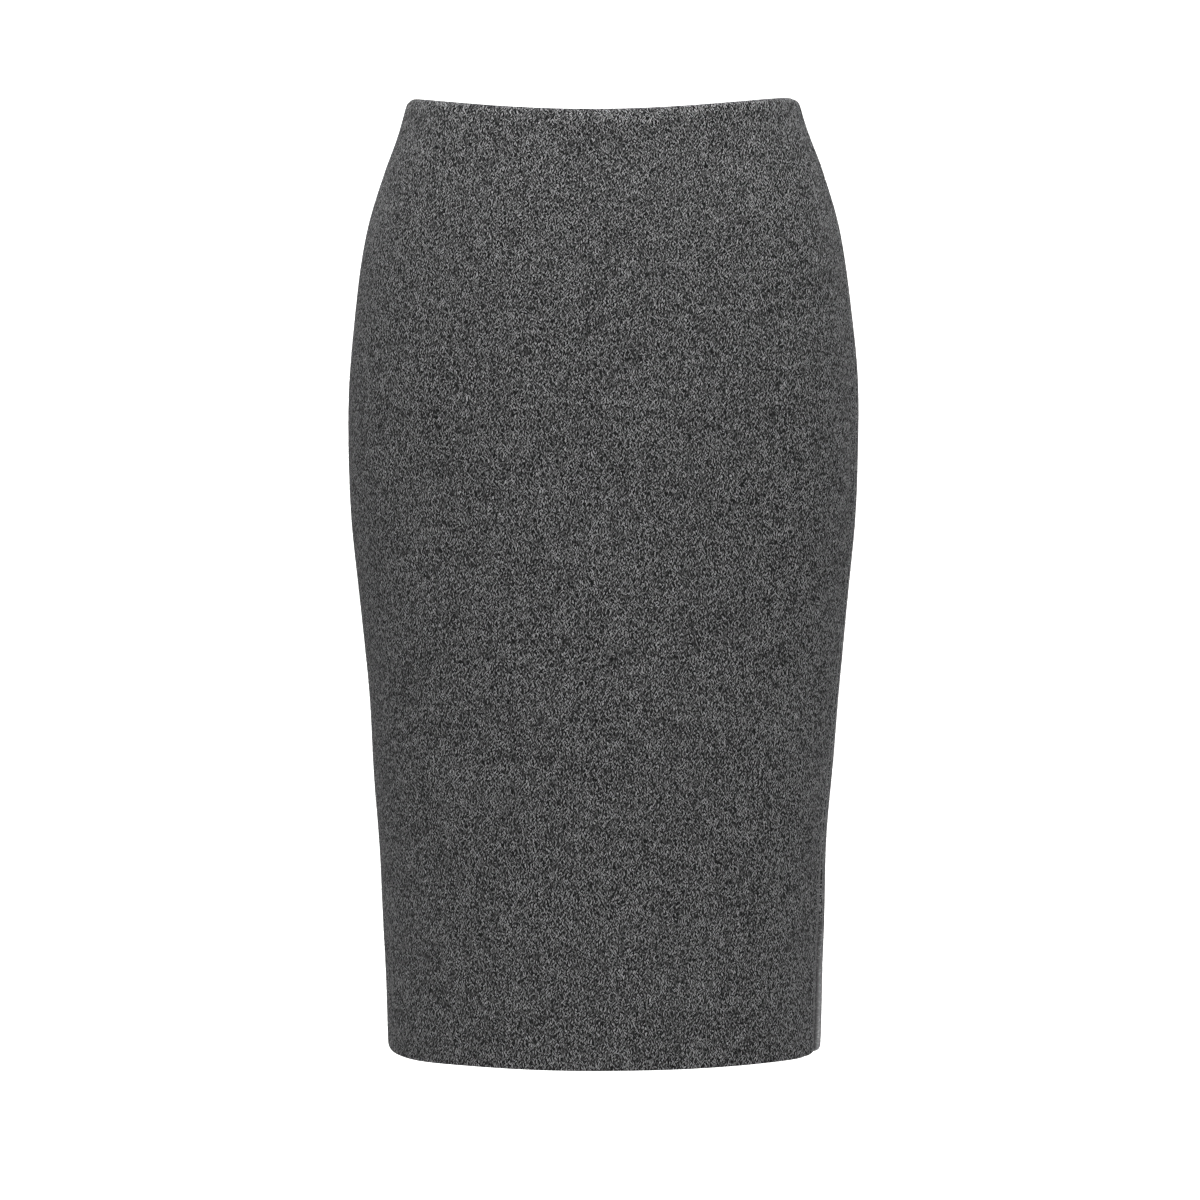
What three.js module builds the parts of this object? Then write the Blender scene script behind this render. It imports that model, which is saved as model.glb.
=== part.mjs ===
// A knee-length pencil skirt of thick heathered knit, filled out as worn, with nobody in it.
// It is cut as one front and one back panel, joined by two side seams whose allowances are
// pressed open inside. The top edge is turned in over an elastic and the hem is turned up.
// Millimetres, +Z up. The origin is the middle of the waist opening, level with the top edge
// over the side seams. The front faces -Y, and +X is the side on the right seen from the front.
import * as THREE from "three";

// Sizes of the garment.
const LENGTH = 632; // top edge to hem, down a side seam
const FRONT_DIP = 14; // how much lower the top edge is cut at the middle of the front
const BACK_DIP = 4; // and at the middle of the back
const DIP_REACH = 130; // below this drop the rows of the cloth run level
const SEAM_GAP = 0.3; // between the two panels, at each side seam

// The cloth and what is turned in.
const CLOTH = 1.8;
const ELASTIC = 2; // inside the turned top edge
const WAIST_WALL = 2 * CLOTH + ELASTIC;
const HEM_WALL = 2 * CLOTH;
const WAIST_TURNING = 45;
const HEM_TURNING = 38;
const SEAM_ALLOWANCE = 12;
const CUT_EDGE = 0.6; // height over which a cut edge of a turning ends

// The round top edge, which rolls inwards more at the middle of a panel than at its sides.
const ROLL_IN = 4.2;
const ROLL_DOWN_SIDE = 5;
const ROLL_DOWN_MIDDLE = 9;
const ROLL_STEPS = 5;
const LIP_STEPS = 2; // on the inner side of the roll
const FOLD_STEPS = 3; // on each half of the hem's fold

// The outer face swells a little beside a seam and sinks into it.
const SEAM_SINK = 1.1;
const SEAM_SINK_REACH = 1.7;
const SEAM_SWELL = 0.5;
const SEAM_SWELL_AT = 5;
const SEAM_SWELL_REACH = 3;

// How finely the wall is divided: across between the allowances, and beside each seam.
const ROW_SPACING = 29;
const COLUMNS_BETWEEN_SEAMS = 30;
const COLUMNS_BY_SEAM = [SEAM_GAP / 2, 1.2, 3, 5.5, 9, SEAM_ALLOWANCE];
const OUTLINE_STEPS = 240;

// Level sections, from the top edge down to the hem: the drop below the origin, half the width,
// the depth in front of the side line and behind it, how square the curve is, and how far the
// whole garment is turned on its wearer, measured round the cloth.
const SECTIONS = [
  { drop: 0, side: 129.8, front: 97, back: 99, square: 0.02, turn: 6 },
  { drop: 22, side: 136.2, front: 98.5, back: 102, square: 0.03, turn: 7 },
  { drop: 48, side: 146.0, front: 102.5, back: 107.5, square: 0.04, turn: 9 },
  { drop: 88, side: 157.4, front: 109.5, back: 115.5, square: 0.05, turn: 13 },
  { drop: 141, side: 165.9, front: 115, back: 122.5, square: 0.05, turn: 17 },
  { drop: 208, side: 170.0, front: 118.2, back: 125.5, square: 0.05, turn: 20 },
  { drop: 275, side: 168.1, front: 119, back: 124.5, square: 0.04, turn: 21 },
  { drop: 355, side: 160.6, front: 118.5, back: 121.5, square: 0.03, turn: 22 },
  { drop: 435, side: 154.0, front: 118, back: 118.5, square: 0.02, turn: 26 },
  { drop: 515, side: 148.9, front: 117.5, back: 116, square: 0.01, turn: 28 },
  { drop: 632, side: 144.4, front: 117, back: 114, square: 0, turn: 32 },
];

// The cloth's colour and finish.
const HEATHER = { color: 0x4d4d4d, roughness: 0.95, metalness: 0 };

// The share of a rise and fall at a share of the way across a panel: 0 at its seams, 1 midway.
function hump(across, power) {
  return Math.sin(Math.PI * across) ** power;
}

// One column of the section table as a smooth curve of the drop: a cubic between two rows,
// with each row's slope taken from the rows beside it.
function sectionValue(name, drop) {
  const last = SECTIONS.length - 1;
  const next = SECTIONS.findIndex((row) => row.drop >= drop);
  const i = THREE.MathUtils.clamp(next, 1, last) - 1;
  const slope = (k) => {
    const above = SECTIONS[Math.max(k - 1, 0)];
    const below = SECTIONS[Math.min(k + 1, last)];
    return (below[name] - above[name]) / (below.drop - above.drop);
  };
  const [upper, lower] = [SECTIONS[i], SECTIONS[i + 1]];
  const gap = lower.drop - upper.drop;
  const t = THREE.MathUtils.clamp((drop - upper.drop) / gap, 0, 1);
  const rise = t * t * (3 - 2 * t);
  const curveIn = t * (1 - t) * (1 - t) * gap;
  const curveOut = t * t * (t - 1) * gap;
  return (
    upper[name] * (1 - rise) +
    lower[name] * rise +
    slope(i) * curveIn +
    slope(i + 1) * curveOut
  );
}

// The level outline at a drop, from the +X side over the front to the -X side and back round.
// Each point has its distance round the cloth from the start.
function levelOutline(drop) {
  const [side, front, back, square] = ["side", "front", "back", "square"].map((name) =>
    sectionValue(name, drop),
  );
  const points = [];
  let round = 0;
  for (let k = 0; k <= OUTLINE_STEPS; k++) {
    const angle = (2 * Math.PI * k) / OUTLINE_STEPS;
    const [c, s] = [Math.cos(angle), Math.sin(angle)];
    const depth = s > 0 ? front : back;
    const x = side * c * (1 + square * s * s);
    const y = -depth * s * (1 + square * c * c);
    if (k > 0) round += Math.hypot(x - points[k - 1].x, y - points[k - 1].y);
    points.push({ x, y, round });
  }
  return points;
}

// The point and the outward direction at a distance round an outline, which may run past its end.
function pointRound(points, distance) {
  const girth = points[OUTLINE_STEPS].round;
  const wanted = THREE.MathUtils.euclideanModulo(distance, girth);
  let k = 1;
  while (points[k].round < wanted) k++;
  const [a, b] = [points[k - 1], points[k]];
  const t = (wanted - a.round) / (b.round - a.round);
  const before = points[(k - 2 + OUTLINE_STEPS) % OUTLINE_STEPS];
  const after = points[(k + 1) % OUTLINE_STEPS];
  const along = new THREE.Vector2(
    THREE.MathUtils.lerp(b.x - before.x, after.x - a.x, t),
    THREE.MathUtils.lerp(b.y - before.y, after.y - a.y, t),
  ).normalize();
  return {
    x: THREE.MathUtils.lerp(a.x, b.x, t),
    y: THREE.MathUtils.lerp(a.y, b.y, t),
    outX: -along.y,
    outY: along.x,
  };
}

// The columns of a panel from seam to seam, each with its distance from a seam and its share of
// the way across between those distances. Near a seam that distance is all that counts, and the
// others spread evenly between the two allowances.
function panelColumns() {
  const first = COLUMNS_BY_SEAM.map((fromSeam) => ({ fromSeam, share: 0 }));
  const last = COLUMNS_BY_SEAM.map((fromSeam) => ({ fromSeam, share: 1 })).reverse();
  const between = Array.from({ length: COLUMNS_BETWEEN_SEAMS + 1 }, (_, k) => ({
    fromSeam: SEAM_ALLOWANCE + CUT_EDGE,
    share: k / COLUMNS_BETWEEN_SEAMS,
  }));
  return [...first, ...between, ...last];
}

// How far the outer face stands out at a distance from the nearer seam.
function seamRelief(fromSeam) {
  const sink = SEAM_SINK * Math.exp(-((fromSeam / SEAM_SINK_REACH) ** 2));
  const swell = SEAM_SWELL * Math.exp(-(((fromSeam - SEAM_SWELL_AT) / SEAM_SWELL_REACH) ** 2));
  return swell - sink;
}

// The wall cut through from top to bottom, as a closed loop of rows: the drop, how far in from
// the outer face, and for the round top edge its place on the roll.
function wallRows() {
  const top = ROLL_DOWN_MIDDLE + 3;
  const bottom = LENGTH - HEM_WALL;
  const count = Math.round((bottom - top) / ROW_SPACING);
  const levels = Array.from({ length: count + 1 }, (_, k) =>
    THREE.MathUtils.lerp(top, bottom, k / count),
  );
  const insideRows = (from, to, depth) =>
    levels.filter((drop) => drop > from && drop < to).map((drop) => ({ drop, depth }));
  const quarter = (k, steps) => (Math.PI / 2) * (k / steps);
  const outside = levels.map((drop) => ({ drop, depth: 0 })).reverse();
  const roll = [];
  for (let k = 0; k <= ROLL_STEPS; k++) {
    const a = quarter(k, ROLL_STEPS);
    roll.push({ rollShare: 1 - Math.sin(a), depth: ROLL_IN * (1 - Math.cos(a)) });
  }
  const lip = WAIST_WALL - ROLL_IN;
  for (let k = 1; k <= LIP_STEPS; k++) {
    const a = quarter(k, LIP_STEPS);
    roll.push({ drop: lip * (1 - Math.cos(a)), depth: ROLL_IN + lip * Math.sin(a) });
  }
  const hemTop = LENGTH - HEM_TURNING;
  const inside = [
    ...insideRows(0, WAIST_TURNING, WAIST_WALL),
    { drop: WAIST_TURNING, depth: WAIST_WALL },
    { drop: WAIST_TURNING + CUT_EDGE, depth: CLOTH },
    ...insideRows(WAIST_TURNING + CUT_EDGE, hemTop - CUT_EDGE, CLOTH),
    { drop: hemTop - CUT_EDGE, depth: CLOTH },
    { drop: hemTop, depth: HEM_WALL },
    ...insideRows(hemTop, LENGTH, HEM_WALL),
  ];
  const fold = [];
  for (let k = 1; k < 2 * FOLD_STEPS; k++) {
    const a = quarter(k, FOLD_STEPS);
    const drop = LENGTH - (HEM_WALL / 2) * (1 - Math.sin(a));
    fold.push({ drop, depth: (HEM_WALL / 2) * (1 + Math.cos(a)) });
  }
  return [...outside, ...roll, ...inside, ...fold];
}

// One panel: the wall's rows carried from seam to seam. The front starts at the +X seam, and the
// back at the -X seam, so both run the same way round.
function panelGeometry({ isFront, dip, dipPower }) {
  const rows = wallRows();
  const columns = panelColumns();
  const positions = [];
  for (const column of columns) {
    for (const row of rows) {
      const middle = hump(column.share, dipPower);
      const rollDown =
        ROLL_DOWN_SIDE + (ROLL_DOWN_MIDDLE - ROLL_DOWN_SIDE) * hump(column.share, 2);
      const drop = row.drop ?? row.rollShare * rollDown;
      const fade = Math.max(0, 1 - drop / DIP_REACH);
      const level = drop + dip * middle * fade;
      const points = levelOutline(level);
      const half = points[OUTLINE_STEPS / 2].round;
      const width = isFront ? half : points[OUTLINE_STEPS].round - half;
      const start = (isFront ? 0 : half) + sectionValue("turn", level);
      const round = THREE.MathUtils.lerp(column.fromSeam, width - column.fromSeam, column.share);
      const fromSeam = Math.min(round, width - round);
      const place = pointRound(points, start + round);
      const onAllowance = fromSeam < SEAM_ALLOWANCE + CUT_EDGE / 2;
      const allowance = onAllowance ? Math.min(row.depth, CLOTH) : 0;
      const out = seamRelief(fromSeam) - row.depth - allowance;
      positions.push(place.x + place.outX * out, place.y + place.outY * out, -level);
    }
  }
  return closedSweep(positions, rows.length, columns.length);
}

// A closed solid from loops of points laid one after another: the faces between each two loops,
// and a flat cap of triangles over the first and the last.
function closedSweep(positions, loopSize, loops) {
  const index = [];
  for (let c = 0; c + 1 < loops; c++) {
    for (let r = 0; r < loopSize; r++) {
      const next = (r + 1) % loopSize;
      const [a, b] = [c * loopSize + r, c * loopSize + next];
      index.push(a, b, a + loopSize, b, b + loopSize, a + loopSize);
    }
  }
  for (const loop of [0, loops - 1]) {
    const first = loop * loopSize;
    const flat = Array.from({ length: loopSize }, (_, r) => {
      const at = 3 * (first + r);
      return new THREE.Vector2(Math.hypot(positions[at], positions[at + 1]), positions[at + 2]);
    });
    for (const face of THREE.ShapeUtils.triangulateShape(flat, [])) {
      const [a, b, c] = face.map((r) => first + r);
      index.push(...(loop === 0 ? [c, b, a] : [a, b, c]));
    }
  }
  const geometry = new THREE.BufferGeometry();
  geometry.setAttribute("position", new THREE.Float32BufferAttribute(positions, 3));
  geometry.setIndex(index);
  geometry.computeVertexNormals();
  return geometry;
}

// A panel as a named mesh in its own cloth.
function panel(name, cut) {
  const mesh = new THREE.Mesh(panelGeometry(cut), new THREE.MeshStandardMaterial(HEATHER));
  mesh.name = name;
  return mesh;
}

const skirt = new THREE.Group();
skirt.add(panel("front_panel", { isFront: true, dip: FRONT_DIP, dipPower: 1.7 }));
skirt.add(panel("back_panel", { isFront: false, dip: BACK_DIP, dipPower: 2 }));

export default skirt;
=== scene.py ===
# A knee-length pencil skirt of thick heathered charcoal knit, filled out as it is worn with
# nobody in it, and seen straight from the front in soft light.
import math

import bmesh
import bpy
import numpy as np
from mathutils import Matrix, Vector


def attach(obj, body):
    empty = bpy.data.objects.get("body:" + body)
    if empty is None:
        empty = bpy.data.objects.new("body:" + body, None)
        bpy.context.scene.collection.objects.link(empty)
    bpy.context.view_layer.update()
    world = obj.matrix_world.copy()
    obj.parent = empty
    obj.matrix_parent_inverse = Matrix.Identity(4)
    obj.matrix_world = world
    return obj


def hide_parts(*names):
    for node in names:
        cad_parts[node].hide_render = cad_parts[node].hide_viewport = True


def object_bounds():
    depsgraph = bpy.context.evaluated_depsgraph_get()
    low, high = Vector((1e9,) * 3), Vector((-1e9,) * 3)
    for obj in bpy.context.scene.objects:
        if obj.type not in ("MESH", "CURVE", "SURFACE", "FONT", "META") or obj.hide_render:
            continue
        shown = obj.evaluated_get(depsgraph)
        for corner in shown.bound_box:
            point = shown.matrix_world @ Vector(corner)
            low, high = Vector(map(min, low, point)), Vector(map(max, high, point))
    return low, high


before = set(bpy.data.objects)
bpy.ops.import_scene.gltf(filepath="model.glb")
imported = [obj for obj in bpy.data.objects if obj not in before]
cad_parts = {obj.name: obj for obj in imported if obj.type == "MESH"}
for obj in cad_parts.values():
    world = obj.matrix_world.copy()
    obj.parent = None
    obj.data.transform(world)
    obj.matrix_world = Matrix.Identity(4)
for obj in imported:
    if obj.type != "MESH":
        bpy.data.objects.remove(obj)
cad_low, cad_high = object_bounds()
MM = 0.001

# The camera stands a little below the middle of the skirt and looks slightly down, far enough
# away that the hem curves as gently as it does in the photograph. The picture is square.
CAMERA_DISTANCE = 2.9
CAMERA_HEIGHT = -0.237
CAMERA_SIDE = -0.0023
AIM_HEIGHT = -0.3326
LENS = 130.2

bpy.ops.object.camera_add(location=(CAMERA_SIDE, -CAMERA_DISTANCE, CAMERA_HEIGHT))
camera = bpy.context.object
camera.name = "photo_camera"
camera.data.lens = LENS
camera.data.sensor_width = 36
camera.data.clip_end = 50
aim = Vector((CAMERA_SIDE, 0, AIM_HEIGHT)) - camera.location
camera.rotation_euler = aim.to_track_quat("-Z", "Y").to_euler()
bpy.context.scene.camera = camera

# The studio is a pale sheet that runs along the floor and curves up behind, well below and
# behind the skirt, with a large soft light above the camera, one overhead and one on the sheet.
FLOOR_HEIGHT = -1.06
STUDIO_HALF = 6.0
SWEEP = 1.6
PAPER_GLOW = 0.4


def pale_backdrop():
    bpy.ops.object.select_all(action="DESELECT")
    bpy.ops.mesh.primitive_plane_add(size=2 * STUDIO_HALF, location=(0, 0, FLOOR_HEIGHT))
    floor = bpy.context.object
    floor.name = "studio_floor"
    bpy.ops.object.mode_set(mode="EDIT")
    bpy.ops.mesh.select_all(action="DESELECT")
    sheet = bmesh.from_edit_mesh(floor.data)
    for edge in sheet.edges:
        edge.select = all(v.co.y > 0 for v in edge.verts)
    bmesh.update_edit_mesh(floor.data)
    bpy.ops.mesh.extrude_region_move(TRANSFORM_OT_translate={"value": (0, 0, STUDIO_HALF)})
    bpy.ops.mesh.select_all(action="DESELECT")
    sheet = bmesh.from_edit_mesh(floor.data)
    for edge in sheet.edges:
        low = all(abs(v.co.z) < MM for v in edge.verts)
        edge.select = low and all(v.co.y > STUDIO_HALF / 2 for v in edge.verts)
    bmesh.update_edit_mesh(floor.data)
    bpy.ops.mesh.bevel(offset=SWEEP, segments=16)
    bpy.ops.object.mode_set(mode="OBJECT")
    bpy.ops.object.shade_smooth()
    paper = bpy.data.materials.new("pale_paper")
    paper.use_nodes = True
    shader = paper.node_tree.nodes["Principled BSDF"]
    shader.inputs["Base Color"].default_value = (0.93, 0.93, 0.93, 1)
    shader.inputs["Roughness"].default_value = 0.9
    shader.inputs["Specular IOR Level"].default_value = 0.1
    # The far and near ends of the sheet get little light, and this keeps them pale too.
    shader.inputs["Emission Color"].default_value = (1, 1, 1, 1)
    looked_at = paper.node_tree.nodes.new("ShaderNodeLightPath")
    glow = paper.node_tree.nodes.new("ShaderNodeMath")
    glow.operation = "MULTIPLY"
    glow.inputs[1].default_value = PAPER_GLOW
    paper.node_tree.links.new(looked_at.outputs["Is Camera Ray"], glow.inputs[0])
    paper.node_tree.links.new(glow.outputs[0], shader.inputs["Emission Strength"])
    floor.data.materials.append(paper)


def soft_light(name, place, target, size, power):
    bpy.ops.object.light_add(type="AREA", location=place)
    light = bpy.context.object
    light.name = name
    light.data.shape = "RECTANGLE"
    light.data.size, light.data.size_y = size
    light.data.energy = power
    way = Vector(target) - Vector(place)
    light.rotation_euler = way.to_track_quat("-Z", "Y").to_euler()


pale_backdrop()
soft_light("key_softbox", (0, -1.8, 2.0), (0, 0, -0.3), (2.0, 1.2), 71)
soft_light("overhead_softbox", (0, -0.05, 1.5), (0, 0, -0.3), (2.4, 0.9), 29)
soft_light("right_fill", (2.4, -1.6, 0.2), (0, 0, -0.35), (1.2, 1.8), 3)
soft_light("backdrop_light", (0, 2.6, 2.6), (0, 6.0, -0.2), (3.0, 0.8), 240)

# The room past the paper looks pale and gives only a little light.
ROOM_LIGHT = 0.15
ROOM_SEEN = 0.72

world = bpy.data.worlds.new("soft_room")
world.use_nodes = True
room = world.node_tree.nodes["Background"]
room.inputs["Color"].default_value = (1, 1, 1, 1)
looked_at = world.node_tree.nodes.new("ShaderNodeLightPath")
brightness = world.node_tree.nodes.new("ShaderNodeMapRange")
brightness.inputs["To Min"].default_value = ROOM_LIGHT
brightness.inputs["To Max"].default_value = ROOM_SEEN
world.node_tree.links.new(looked_at.outputs["Is Camera Ray"], brightness.inputs["Value"])
world.node_tree.links.new(brightness.outputs[0], room.inputs["Strength"])
bpy.context.scene.world = world
bpy.context.scene.view_settings.view_transform = "Standard"

# The cloth is a thick weft knit of mixed dark and pale grey wool, so each leg of each stitch
# has its own grey. Its face shows the legs as small V shapes in columns, and its back shows
# them lying flatter, as short bars. Both are a little felted.
DARK_WOOL = (0.006, 0.006, 0.0063, 1)
PALE_WOOL = (0.420, 0.420, 0.425, 1)
FLAT_CONTRAST = 1.16  # of the wool's greys, and what is added where the knit is pulled open
OPEN_CONTRAST = 0.60
HIGHLIGHT_PALENESS = 0.62  # how much paler the wool is where a highlight is painted on it
SEAM_SHADE_DARKNESS = 0.6  # how much darker it is where shade is painted into a seam's groove
MIDDLE_GREY = 0.36  # the middle of the greys below, before their contrast
OWN_GREY, FIBRE_GREY, HAIR_GREY = 1.28, 0.5, 0.41  # how far a leg, its fibres and hairs vary
STREAK_GREY, CLOUD_GREY = 0.28, 0.14  # and how far the knit does from place to place
MIDDLE_BY_CONTRAST = (-0.30, 0.662)  # slope and start: more contrast goes with a darker middle
GREY_POWER = 2.3


def new_group(name, inputs, outputs):
    group = bpy.data.node_groups.new(name, "ShaderNodeTree")
    for label, kind, value in inputs:
        socket = group.interface.new_socket(label, in_out="INPUT", socket_type=kind)
        if value is not None:
            socket.default_value = value
    for label, kind in outputs:
        group.interface.new_socket(label, in_out="OUTPUT", socket_type=kind)
    return group


class Wiring:
    """Adds nodes to a tree, with links for sockets and plain numbers for the rest."""

    def __init__(self, tree):
        self.tree = tree

    def node(self, kind, settings=None, **inputs):
        node = self.tree.nodes.new(kind)
        for key, value in (settings or {}).items():
            setattr(node, key, value)
        for key, value in inputs.items():
            label = key.replace("_", " ")
            socket = node.inputs[int(key[1:])] if key[1:].isdigit() else node.inputs[label]
            if isinstance(value, bpy.types.NodeSocket):
                self.tree.links.new(value, socket)
            else:
                socket.default_value = value
        return node

    def math(self, operation, a, b=0.0, c=0.0, clamp=False):
        settings = {"operation": operation, "use_clamp": clamp}
        return self.node("ShaderNodeMath", settings, i0=a, i1=b, i2=c).outputs[0]

    def spread(self, value, low, high, to_low=0.0, to_high=1.0):
        """The value's share of the way from low to high, as a number from to_low to to_high."""
        node = self.node("ShaderNodeMapRange", {"clamp": True})
        self.tree.links.new(value, node.inputs["Value"])
        for label, number in (
            ("From Min", low), ("From Max", high), ("To Min", to_low), ("To Max", to_high)
        ):
            if isinstance(number, bpy.types.NodeSocket):
                self.tree.links.new(number, node.inputs[label])
            else:
                node.inputs[label].default_value = number
        return node.outputs[0]

    def point(self, x, y, z=0.0):
        return self.node("ShaderNodeCombineXYZ", i0=x, i1=y, i2=z).outputs[0]

    def mix(self, share, dark, pale):
        node = self.node("ShaderNodeMix", {"data_type": "RGBA"}, i0=share, i6=dark, i7=pale)
        return node.outputs[2]

    def noise(self, place, scale, detail=0.0, roughness=0.5):
        node = self.node("ShaderNodeTexNoise", {"noise_dimensions": "3D"})
        self.tree.links.new(place, node.inputs["Vector"])
        node.inputs["Scale"].default_value = scale
        node.inputs["Detail"].default_value = detail
        node.inputs["Roughness"].default_value = roughness
        return node.outputs["Fac"]


def heathered_knit_group():
    """Stitch legs in columns, each with a random grey, from a place on the cloth in metres."""
    group = new_group(
        "heathered_knit",
        [
            ("Cloth", "NodeSocketVector", None),
            ("Leg Width mm", "NodeSocketFloat", 1.0),
            ("Course Height mm", "NodeSocketFloat", 1.5),
            ("Slant", "NodeSocketFloat", 0.6),
            ("Wander mm", "NodeSocketFloat", 0.9),
            ("Mix of Wool", "NodeSocketFloat", 1.0),
            ("Painted Highlight", "NodeSocketFloat", 0.0),
            ("Painted Shade", "NodeSocketFloat", 0.0),
            ("Dark Wool", "NodeSocketColor", DARK_WOOL),
            ("Pale Wool", "NodeSocketColor", PALE_WOOL),
        ],
        [
            ("Color", "NodeSocketColor"),
            ("Height", "NodeSocketFloat"),
            ("Roughness", "NodeSocketFloat"),
        ],
    )
    w = Wiring(group)
    given = w.node("NodeGroupInput").outputs
    out = w.node("NodeGroupOutput").inputs
    parts = w.node("ShaderNodeSeparateXYZ", i0=given["Cloth"]).outputs
    across = w.math("MULTIPLY", parts[0], 1000)
    along = w.math("MULTIPLY", parts[1], 1000)
    place = w.point(across, along)

    # The columns of stitches wander, because the cloth is felted and pulled over the hips.
    drift_across = w.math("SUBTRACT", w.noise(place, 0.21, 2.0), 0.5)
    shifted = w.point(across, along, 40.0)
    drift_along = w.math("SUBTRACT", w.noise(shifted, 0.27, 2.0), 0.5)
    across = w.math("MULTIPLY_ADD", drift_across, w.math("MULTIPLY", given["Wander mm"], 4.0), across)
    along = w.math("MULTIPLY_ADD", drift_along, w.math("MULTIPLY", given["Wander mm"], 5.0), along)

    legs = w.math("DIVIDE", across, given["Leg Width mm"])
    v_shape = w.math("PINGPONG", legs, 1.0)
    courses = w.math("DIVIDE", along, given["Course Height mm"])
    courses = w.math("MULTIPLY_ADD", v_shape, given["Slant"], courses)
    leg, in_leg = w.math("FLOOR", legs), w.math("FRACT", legs)
    course, in_course = w.math("FLOOR", courses), w.math("FRACT", courses)

    # The yarn is plied from a dark and a pale strand, so that a pale leg tends to lie by darker ones.
    def leg_tone(right, up):
        cell = w.point(w.math("ADD", leg, right), w.math("ADD", course, up))
        noise = w.node("ShaderNodeTexWhiteNoise", {"noise_dimensions": "2D"}, Vector=cell)
        return w.math("SUBTRACT", noise.outputs["Value"], 0.5)

    beside = w.math("ADD", leg_tone(1, 0), leg_tone(-1, 0))
    stacked = w.math("ADD", leg_tone(0, 1), leg_tone(0, -1))
    own = w.math("MULTIPLY_ADD", beside, -0.27, leg_tone(0, 0))
    own = w.math("MULTIPLY_ADD", stacked, -0.26, own)
    fibre_place = w.point(w.math("MULTIPLY", legs, 1.35), w.math("MULTIPLY", courses, 0.85))
    fibres = w.noise(fibre_place, 1.6, 2.0, 0.7)
    hairs = w.noise(w.point(w.math("MULTIPLY", legs, 3.1), courses), 2.2, 1.0)

    round_across = w.math("SINE", w.math("MULTIPLY", in_leg, math.pi))
    round_along = w.math("SINE", w.math("MULTIPLY", in_course, math.pi))
    round_leg = w.math("POWER", w.math("MULTIPLY", round_across, round_along), 0.5)

    # Yarn comes in slightly paler and darker lengths, which show as faint level streaks.
    streak_place = w.point(w.math("MULTIPLY", across, 0.018), w.math("MULTIPLY", along, 0.55))
    streaks = w.math("SUBTRACT", w.noise(streak_place, 1.0, 2.0, 0.6), 0.5)
    clouds = w.math("SUBTRACT", w.noise(place, 0.045, 3.0, 0.6), 0.5)

    tone = w.math("MULTIPLY_ADD", own, OWN_GREY, MIDDLE_GREY)
    tone = w.math("MULTIPLY_ADD", w.math("SUBTRACT", fibres, 0.5), FIBRE_GREY, tone)
    tone = w.math("MULTIPLY_ADD", w.math("SUBTRACT", hairs, 0.5), HAIR_GREY, tone)
    tone = w.math("MULTIPLY_ADD", streaks, STREAK_GREY, tone)
    tone = w.math("MULTIPLY_ADD", clouds, CLOUD_GREY, tone)
    contrast = given["Mix of Wool"]
    middle = w.math("MULTIPLY_ADD", contrast, *MIDDLE_BY_CONTRAST)
    tone = w.math("MULTIPLY_ADD", w.math("SUBTRACT", tone, MIDDLE_GREY), contrast, middle)
    # Each leg is painted darker towards its edges: painted shade in the crevices between the legs.
    tone = w.math("MULTIPLY", tone, w.spread(round_leg, 0.0, 0.8, 0.55, 1.06), clamp=True)
    share = w.math("POWER", tone, GREY_POWER)
    # A painted highlight makes the wool paler where it is set.
    painted_highlight = w.math("MULTIPLY", given["Painted Highlight"], HIGHLIGHT_PALENESS)
    share = w.math("MULTIPLY_ADD", w.math("SUBTRACT", 1.0, share), painted_highlight, share)
    # Painted shade makes the wool darker deep in a seam's groove.
    painted_shade = w.math("MULTIPLY_ADD", given["Painted Shade"], -SEAM_SHADE_DARKNESS, 1.0)
    share = w.math("MULTIPLY", share, painted_shade)
    group.links.new(w.mix(share, given["Dark Wool"], given["Pale Wool"]), out["Color"])
    height = w.math("MULTIPLY_ADD", fibres, 0.8, w.math("MULTIPLY", round_leg, 0.8))
    group.links.new(height, out["Height"])
    group.links.new(w.spread(tone, 0.0, 1.0, 0.98, 0.86), out["Roughness"])
    return group


HEATHERED_KNIT = heathered_knit_group()


def knit_material(name, values, bump):
    material = bpy.data.materials.new(name)
    material.use_nodes = True
    tree = material.node_tree
    w = Wiring(tree)
    shader = tree.nodes["Principled BSDF"]
    place = w.node("ShaderNodeUVMap", {"uv_map": "cloth"}).outputs["UV"]
    knit = w.node("ShaderNodeGroup", {"node_tree": HEATHERED_KNIT}, Cloth=place)
    for label, value in values.items():
        knit.inputs[label].default_value = value
    # The painted highlight and the painted shade come from attributes on the cloth.
    for label, attribute in (("Painted Highlight", "painted_highlight"), ("Painted Shade", "painted_shade")):
        value = w.node("ShaderNodeAttribute", {"attribute_name": attribute}).outputs["Fac"]
        tree.links.new(value, knit.inputs[label])
    opened = w.node("ShaderNodeAttribute", {"attribute_name": "pulled_open"}).outputs["Fac"]
    contrast = w.math("MULTIPLY_ADD", opened, OPEN_CONTRAST, FLAT_CONTRAST)
    tree.links.new(contrast, knit.inputs["Mix of Wool"])
    raised = w.node("ShaderNodeBump", Height=knit.outputs["Height"])
    raised.inputs["Strength"].default_value = bump
    raised.inputs["Distance"].default_value = 0.35 * MM
    tree.links.new(knit.outputs["Color"], shader.inputs["Base Color"])
    tree.links.new(knit.outputs["Roughness"], shader.inputs["Roughness"])
    tree.links.new(raised.outputs["Normal"], shader.inputs["Normal"])
    shader.inputs["Specular IOR Level"].default_value = 0.12
    shader.inputs["Sheen Weight"].default_value = 0.06
    shader.inputs["Sheen Roughness"].default_value = 0.45
    shader.inputs["Sheen Tint"].default_value = (0.8, 0.8, 0.82, 1)
    return material


KNIT_FACE = knit_material(
    "heather_knit_face",
    {"Leg Width mm": 0.80, "Course Height mm": 0.94, "Slant": 1.15, "Wander mm": 0.9},
    bump=0.5,
)
KNIT_BACK = knit_material(
    "heather_knit_back",
    {"Leg Width mm": 1.9, "Course Height mm": 0.95, "Slant": 0.18, "Wander mm": 0.8},
    bump=0.55,
)

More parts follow.
